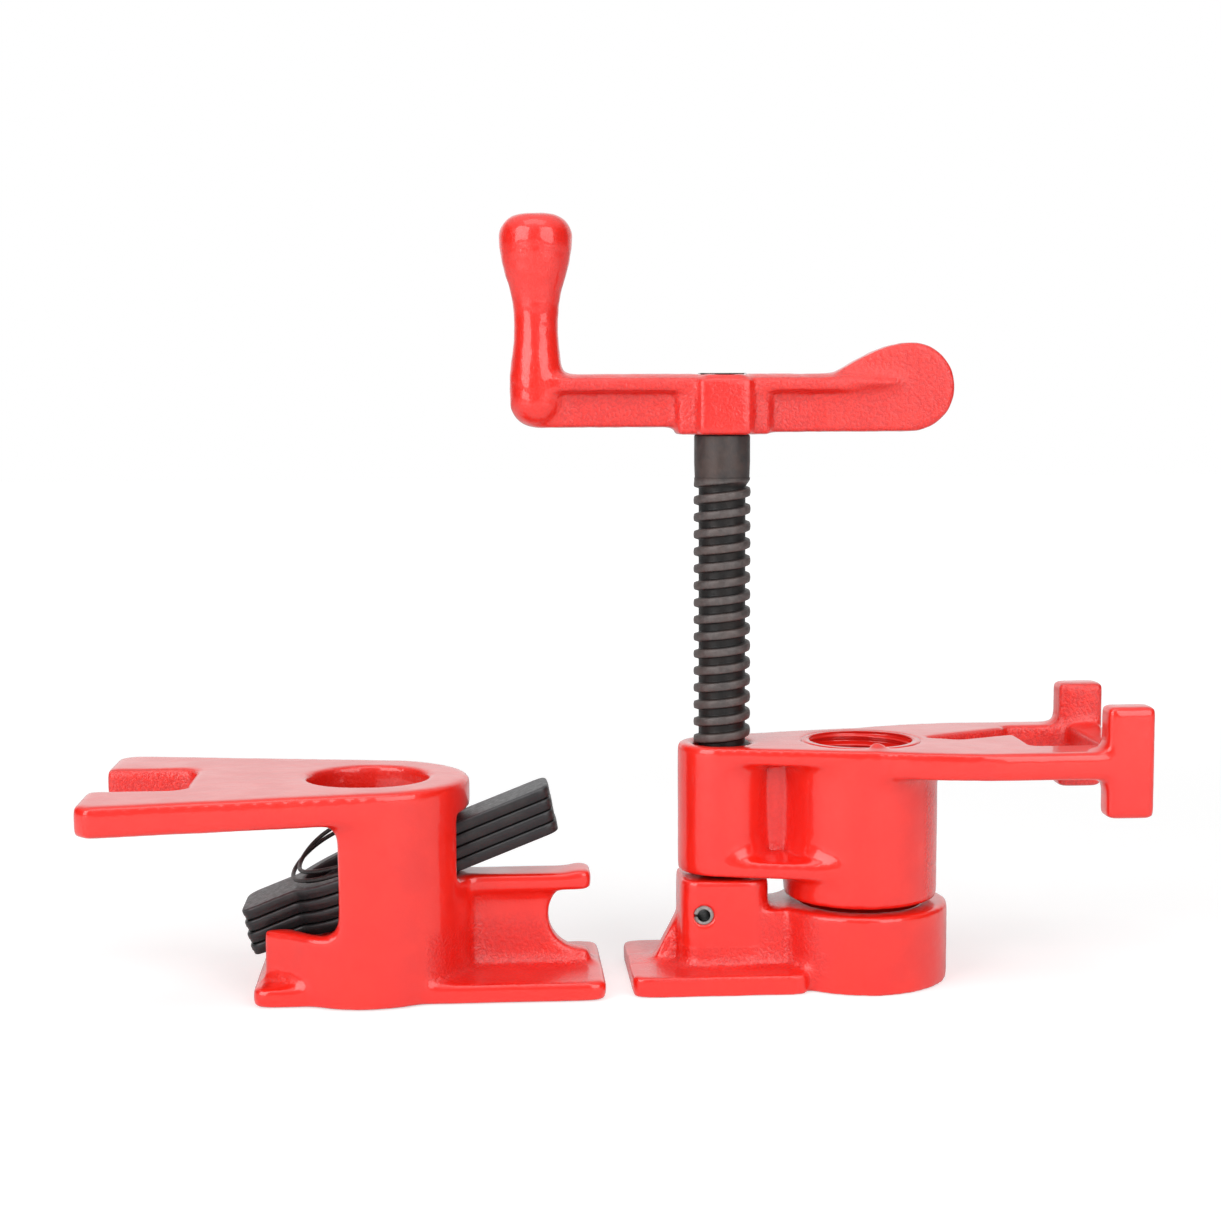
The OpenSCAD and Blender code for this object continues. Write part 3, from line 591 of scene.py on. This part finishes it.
def spindle():
    """The threaded wall with its ends closed, and three turned parts on the same axis: the tip with its groove, the
    collar, and the rivet that comes out of the crank. Marks: light crests, painted shade in the roots, a bare rivet."""
    n = 96
    pts, faces, rows = helix_wall(THREAD_LOW, COLLAR_LOW, PITCH, spindle_rule, n, 24, SPINDLE_X)
    count = len(pts)
    ends = np.array([[SPINDLE_X, 0, THREAD_LOW], [SPINDLE_X, 0, COLLAR_LOW]])
    caps = [fan(np.arange(n), count), fan((rows - 1) * n + np.arange(n), count + 1)]
    thread = (np.concatenate([pts, ends]), [*faces, *caps])
    tip = rounded_steps([(0, 6.5), (4.3, 6.5), (4.3, 14.4), (2.8, 14.4), (2.8, 19.6), (4.3, 19.6), (4.3, 25.4),
                         (0, 25.4)], 0.6)
    collar = rounded_steps([(0, 118.2), (6.35, 118.2), (6.4, 119.4), (6.5, 122), (6.5, 128.45), (0, 128.45)],
                           0.5)
    rivet = rounded_steps([(0, 128.0), (4.97, 128.0), (4.97, 142.53), (5.8, 142.54), (5.4, 142.64),
                           (4.6, 142.68), (0, 142.7)], 0.3)
    piece = make_piece("spindle_screw", [thread] + [turned(p, 64, SPINDLE_X) for p in (tip, collar, rivet)])
    x, y, z = (read_points(piece.data) / MM).T
    r = np.hypot(x - SPINDLE_X, y)
    threaded = near(z, THREAD_LOW, COLLAR_LOW - 1.5, 1.5)
    crest = np.clip((r - MIDDLE_R) / 0.6, 0, 1) * threaded * 0.9
    crest += 0.25 * (z > COLLAR_LOW - 1)
    mark(piece.data, "crest", crest)
    # Painted shade: the thread roots drawn darker
    mark(piece.data, "root", np.clip((MIDDLE_R - r) / 0.5, 0, 1) * threaded * 0.8)
    mark(piece.data, "bare", (z > 142.52) * near(abs(x - SPINDLE_X), 0, 4.2, 0.5))
    return piece


give(spindle(), spindle_steel, "black_steel", "screw", "spindle")


# ---------------------------------------------------------------- roll pin

def roll_pin():
    """Slotted tube: the wall's section, a rectangle with cut corners, carried round from one lip of the slit to the
    other. Its inside is marked for painted shade, drawn near black."""
    length, outer, wall, cut, inner_cut = 19.0, 2.3, 0.85, 0.3, 0.1
    half_slit, rows = 0.18, 49
    y = length / 2
    section = np.array([(outer, -y + cut), (outer, y - cut), (outer - cut, y),
                        (outer - wall + inner_cut, y), (outer - wall, y - inner_cut),
                        (outer - wall, -y + inner_cut), (outer - wall + inner_cut, -y), (outer - cut, -y)])
    a = np.linspace(math.pi + half_slit, 3 * math.pi - half_slit, rows)[:, None]
    r, along = section.T
    pts = np.stack([PIN_X + np.cos(a) * r, 0 * a + along, PIN_Z + np.sin(a) * r], -1)
    faces = [grid_faces(rows, len(section), close_cols=True), end_caps(rows, len(section))]
    piece = make_piece("roll_pin", [(pts, faces)], smooth=False)
    x, y, z = (read_points(piece.data) / MM).T
    # Painted shade: the pin's inside
    mark(piece.data, "pin_inside_shade", (np.hypot(x - PIN_X, z - PIN_Z) < outer - wall + 0.05) * 1.0)
    return piece


give(roll_pin(), pin_steel, "spring_steel", "jaw", "jaw_roll_pin")


# ---------------------------------------------------------------- clutch plates

SLANT = math.radians(21.5)
TAIL_D, WALL = 47.4, 3.9       # the housing's outside diameter and its wall
TAIL_TOP, FORK_T = 49.5, 7.2   # top face of the tail stop, and the thickness of its fork
SEAT_GAP = 0.3                 # between the plates or the spring and what they rest on
DISC_R, HOLE_R = 18.6, 14.45   # a plate's round middle and its pipe hole
GRIP_END, HALF_GRIP = 46.8, 7.0    # narrow long tab, over the finger rest
TAB_END, HALF_TAB = -29.4, 9.5     # wide short tab, under the fork
PLATE_T, PLATE_GAP = 2.7, 0.06
PACK_T = 4 * PLATE_T + 3 * PLATE_GAP
# The edge of the housing's slot that the plates rock on, from the pipe axis
ROCK_X = math.sqrt((TAIL_D / 2 - WALL) ** 2 - HALF_GRIP ** 2)
ROCK_Z = 27.2 - 0.6 + SEAT_GAP


def along_line(line, step):
    """Points at even steps along a closed polyline."""
    closed = np.vstack([line, line[:1]])
    run = np.concatenate([[0], np.cumsum(np.linalg.norm(np.diff(closed, axis=0), axis=1))])
    s = np.linspace(0, run[-1], int(run[-1] / step), endpoint=False)
    return np.stack([np.interp(s, run, closed[:, k]) for k in (0, 1)], -1)


def plate_edge():
    """Outline of a plate about the pipe axis: a disc with a wide short tab to the left and a narrow long one to the
    right. The upper half is made of arcs and mirrored, and the inner corners are then smoothed."""
    quarter = np.linspace(0, math.pi / 2, 9)
    grip_corner, tab_corner = 2.5, 3

    def arc(x, y, r, a):
        return np.stack([x + r * np.cos(a), y + r * np.sin(a)], -1)

    to_grip, to_tab = math.asin(HALF_GRIP / DISC_R), math.pi - math.asin(HALF_TAB / DISC_R)
    upper = np.vstack([arc(GRIP_END - grip_corner, HALF_GRIP - grip_corner, grip_corner, quarter),
                       arc(0, 0, DISC_R, np.linspace(to_grip, to_tab, 40)),
                       arc(TAB_END + tab_corner, HALF_TAB - tab_corner, tab_corner, quarter + math.pi / 2)])
    line = along_line(np.vstack([upper, upper[::-1] * (1, -1)]), 0.5)
    for _ in range(6):
        line = (line + np.roll(line, 1, 0) / 2 + np.roll(line, -1, 0) / 2) / 2
    return line


def clutch_plate(place, shift):
    """One plate as a closed ring of quads: from the outline's upper rim down the edge, back under to the hole, and up
    the hole's wall to the top again. The edge has a rolled upper lip and a slightly torn lower one. A point of the
    hole lies in the same direction from the pipe axis as its partner on the outline. The plate is then turned onto
    the slant, in its place in the pack. Marks: worn lips, and painted shade at the seams between the plates."""
    line = plate_edge()
    angle = np.arctan2(line[:, 1], line[:, 0])
    hole = HOLE_R * np.stack([np.cos(angle), np.sin(angle)], -1)
    widen = hole / HOLE_R
    step = np.roll(line, -1, 0) - np.roll(line, 1, 0)
    out = np.stack([step[:, 1], -step[:, 0]], -1) / np.linalg.norm(step, axis=1)[:, None]
    rng = np.random.default_rng(place + 4)
    torn = np.convolve(rng.normal(size=len(line) + 8), np.ones(9) / 9, "valid")[:, None] * 0.06
    t = PLATE_T
    # How far in from the outline, how high, and how much of the torn edge
    rim = ((0.75, t, 0), (0.6, t - 0.01, 0), (0.42, t - 0.05, 0), (0.2, t - 0.17, 0), (0.06, t - 0.36, 0),
           (0.0, t - 0.6, 0), (0.0, t * 0.45, 0.3), (0.12, t * 0.4, 1), (0.16, 0.3, 1), (0.28, 0.1, 0),
           (0.45, 0.02, 0), (0.7, 0.0, 0))
    # How far out from the hole, and how high
    wall = ((0.7, 0.0), (0.3, 0.03), (0.05, 0.3), (0.0, 0.5), (0.0, t - 0.5), (0.08, t - 0.25), (0.3, t - 0.05),
            (0.7, t))
    rows = [np.column_stack([line - out * (inset + np.abs(torn) * ragged), np.full(len(line), z)])
            for inset, z, ragged in rim]
    rows += [np.column_stack([hole + widen * grow, np.full(len(line), z)]) for grow, z in wall]
    flat = np.concatenate(rows)
    centre = -ROCK_X / math.cos(SLANT) + PACK_T / 2 * math.tan(SLANT) + shift
    low = place * (PLATE_T + PLATE_GAP)
    x, y, z = flat[:, 0] + centre, flat[:, 1], flat[:, 2] + low
    c, s = math.cos(SLANT), math.sin(SLANT)
    pts = np.stack([TAIL_X + ROCK_X + x * c - z * s, y, ROCK_Z + x * s + z * c], -1)
    faces = grid_faces(len(rows), len(line), True, True)
    piece = make_piece(f"clutch_plate_steel_{place + 1}", [(pts, faces)], 0.001)
    square = np.array([-s, 0, c])
    up = read_points(piece.data, "normal") @ square
    mark(piece.data, "lip", near(up, 0.25, 0.93, 0.15) * 0.7 + 0.3 * (up > 0.95))
    height = (read_points(piece.data) / MM - (TAIL_X + ROCK_X, 0, ROCK_Z)) @ square - low
    # Painted shade: darker bands at the faces where the plates meet
    seam = (0.5 - height) / 0.45
    if place < 3:
        seam = np.maximum(seam, (height - t + 0.45) / 0.35)
    mark(piece.data, "seam", np.clip(seam, 0, 1))
    return piece


# How far each plate, from the lowest up, is moved along the slant against its CAD solid
for place, shift in enumerate((-1.2, -0.9, -0.35, 0.1)):
    give(clutch_plate(place, shift), plate_steel, "black_steel", "clutch", f"clutch_plate_{place + 1}")


# ---------------------------------------------------------------- clutch spring

CURLS = 2.08
SOLID_CURLS = 2.06             # curls of the CAD spring, over which it narrows
LOW_CURL_D, HIGH_CURL_D, WIRE_D = 37, 30.8, 1
RISE = np.array([(0, 0), (0.25, 0.06), (0.4, 0.33), (0.5, 0.42), (0.62, 0.24), (0.75, 0.12), (1, 0.12),
                 (1.25, 0.14), (1.4, 0.48), (1.5, 0.62), (1.75, 0.7), (2, 0.88), (2.1, 0.93)])


def spring_line(turn):
    """Middle of the wire, counted in curls from the lower end, on circles that narrow upwards. RISE gives its share
    of the free height between the plates and the fork, smoothed over an eighth of a curl."""
    a = np.radians(270 - 360 * turn)
    r = (LOW_CURL_D - (LOW_CURL_D - HIGH_CURL_D) * turn / SOLID_CURLS - WIRE_D) / 2
    x, y = r * np.cos(a), r * np.sin(a)
    low = ROCK_Z + (x - ROCK_X) * math.tan(SLANT) + PACK_T / math.cos(SLANT) + WIRE_D / 2 + SEAT_GAP + 0.15
    high = TAIL_TOP - FORK_T - WIRE_D / 2 - SEAT_GAP
    rise = sum(k * np.interp(turn + d, RISE[:, 0], RISE[:, 1])
               for d, k in ((-0.06, 1), (-0.03, 2), (0, 2), (0.03, 2), (0.06, 1))) / 8
    return np.stack([TAIL_X + x, y, low + (high - low) * rise], -1)


def clutch_spring():
    """Round wire carried along that line: rings square to it, the first and last of them smaller, so that the cut
    ends are bevelled."""
    rows, around = 241, 12
    turn = np.linspace(0, CURLS, rows)
    line = spring_line(turn)
    way = np.gradient(line, axis=0)
    way /= np.linalg.norm(way, axis=1)[:, None]
    out = (line - (TAIL_X, 0, 0)) * (1, 1, 0)
    out -= (out * way).sum(1)[:, None] * way
    out /= np.linalg.norm(out, axis=1)[:, None]
    up = np.cross(way, out)
    a = circle(around)[None, :, None]
    r = np.full(rows, WIRE_D / 2)
    r[[0, -1]] = 0.3
    pts = line[:, None] + r[:, None, None] * (np.cos(a) * out[:, None] + np.sin(a) * up[:, None])
    faces = [grid_faces(rows, around, close_cols=True), end_caps(rows, around)]
    return make_piece("spring_wire", [(pts, faces)])


spring = give(clutch_spring(), wire_steel, "spring_steel", "tail", "clutch_spring")
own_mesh(spring)


# ---------------------------------------------------------------- studio

FILL = 0.36            # the world's strength for diffuse rays
DARK = 0.04            # its least strength for glossy rays
FLOOR_HALF, FLOOR_Z = 3000.0, -0.1
CARD_SEEN = (0.55, 0.55, 0.55)     # the floor's own colour for the camera, under its glow


def aimed(obj, at, right, up, back):
    """Stands a lamp or camera at a place in metres, turned by its own three directions. It looks against back."""
    turn = Matrix(np.column_stack([right, up, back]).tolist()).to_4x4()
    obj.matrix_world = Matrix.Translation(at) @ turn


def softbox(name, azimuth, elevation, distance, wide, high, watts):
    """A rectangular lamp aimed at the middle of the set. Azimuth 0 stands in front of it, 90 to the right."""
    a, e = math.radians(azimuth), math.radians(elevation)
    aim = np.array([-60, 0, 70])
    at = aim + distance * np.array([math.sin(a) * math.cos(e), -math.cos(a) * math.cos(e), math.sin(e)])
    lamp = bpy.data.lights.new(name, "AREA")
    lamp.shape, lamp.size, lamp.size_y, lamp.energy = "RECTANGLE", wide * MM, high * MM, watts
    back = (at - aim) / np.linalg.norm(at - aim)
    right = np.cross([0, 0, 1], back)
    right /= np.linalg.norm(right)
    aimed(in_scene(name, lamp), (at * MM).tolist(), right, np.cross(back, right), back)


def studio():
    """A white world for the camera and for transmission, and FILL for diffuse rays. Glossy rays see a dark world
    with three bright parts, told by the ray's direction: behind the set, in front of it and above it. The floor is
    a pale card that keeps the shadow, and for the camera it glows more, the farther it lies from the middle."""
    world = bpy.data.worlds.new("studio")
    bpy.context.scene.world = world
    world.use_nodes = True
    tree = world.node_tree
    tree.nodes.clear()
    path = node(tree, "LightPath")
    way = node(tree, "SeparateXYZ", ("Vector", node(tree, "TexCoord").outputs["Generated"]))
    back = spread(tree, way.outputs["Y"], 0.45, 0.9, DARK, 0.95)
    front = spread(tree, way.outputs["Y"], -0.85, -1.0, DARK, 0.25)
    above = spread(tree, way.outputs["Z"], 0.35, 0.9, DARK, 0.8)
    mirrored = sums(tree, "MAXIMUM", sums(tree, "MAXIMUM", back, front), above)
    shiny = path.outputs["Is Glossy Ray"]
    seen = sums(tree, "MAXIMUM", path.outputs["Is Camera Ray"], path.outputs["Is Transmission Ray"])
    glossy = sums(tree, "MULTIPLY", shiny, sums(tree, "SUBTRACT", mirrored, FILL))
    strength = sums(tree, "MAXIMUM", sums(tree, "ADD", glossy, FILL), seen)
    sky = node(tree, "Background", ("Color", WHITE), ("Strength", strength))
    node(tree, "OutputWorld", ("Surface", sky.outputs[0]))

    corners = np.array([(x * FLOOR_HALF, y * FLOOR_HALF, FLOOR_Z) for x, y in ((-1, -1), (1, -1), (1, 1), (-1, 1))])
    floor = make_piece("floor", [(corners, np.array([[0, 1, 2, 3]]))], smooth=False)
    mat, tree = new_finish("white_floor")
    path = node(tree, "LightPath")
    place = node(tree, "TexCoord").outputs["Object"]
    grain = noise(tree, place, 40)
    away = node(tree, "VectorMath", (0, place), operation="LENGTH").outputs["Value"]
    tone = blend_colour(tree, grain, (0.90, 0.90, 0.90), (0.92, 0.92, 0.92))
    tone = blend_colour(tree, path.outputs["Is Camera Ray"], tone, CARD_SEEN)
    card = node(tree, "BsdfDiffuse", ("Color", tone))
    shine = sums(tree, "MULTIPLY", path.outputs["Is Camera Ray"], spread(tree, away, 0.2, 0.8, 0.58, 0.9))
    glow = node(tree, "Emission", ("Color", WHITE), ("Strength", shine))
    both = node(tree, "AddShader", (0, card.outputs[0]), (1, glow.outputs[0]))
    node(tree, "OutputMaterial", ("Surface", both.outputs[0]))
    floor.data.materials.append(mat)

    softbox("left_softbox", -48, 24, 900, 640, 760, 5.4)
    softbox("right_softbox", 34, 24, 900, 600, 760, 4.2)
    softbox("top_softbox", -10, 75, 900, 700, 500, 1.8)


def camera():
    """The photograph's view: place, pan, pitch and roll, which were fitted to points of the object, and the lens on a
    36 mm wide frame."""
    pan, pitch, roll = (math.radians(v) for v in (3.71, 5.745, 0.225))
    right = np.array([math.cos(pan), -math.sin(pan), 0])
    ahead = np.array([math.sin(pan) * math.cos(pitch), math.cos(pan) * math.cos(pitch), -math.sin(pitch)])
    up = np.cross(right, ahead)
    x = math.cos(roll) * right - math.sin(roll) * up
    y = math.sin(roll) * right + math.cos(roll) * up
    lens = bpy.data.cameras.new("camera")
    lens.sensor_width, lens.lens, lens.clip_start, lens.clip_end = 36, 63.56, 0.01, 20
    obj = in_scene("camera", lens)
    aimed(obj, (-0.09149, -0.4992, 0.138), x, y, -ahead)
    bpy.context.scene.camera = obj


studio()
camera()
bpy.context.scene.view_settings.view_transform = "Standard"

bpy.context.view_layer.update()
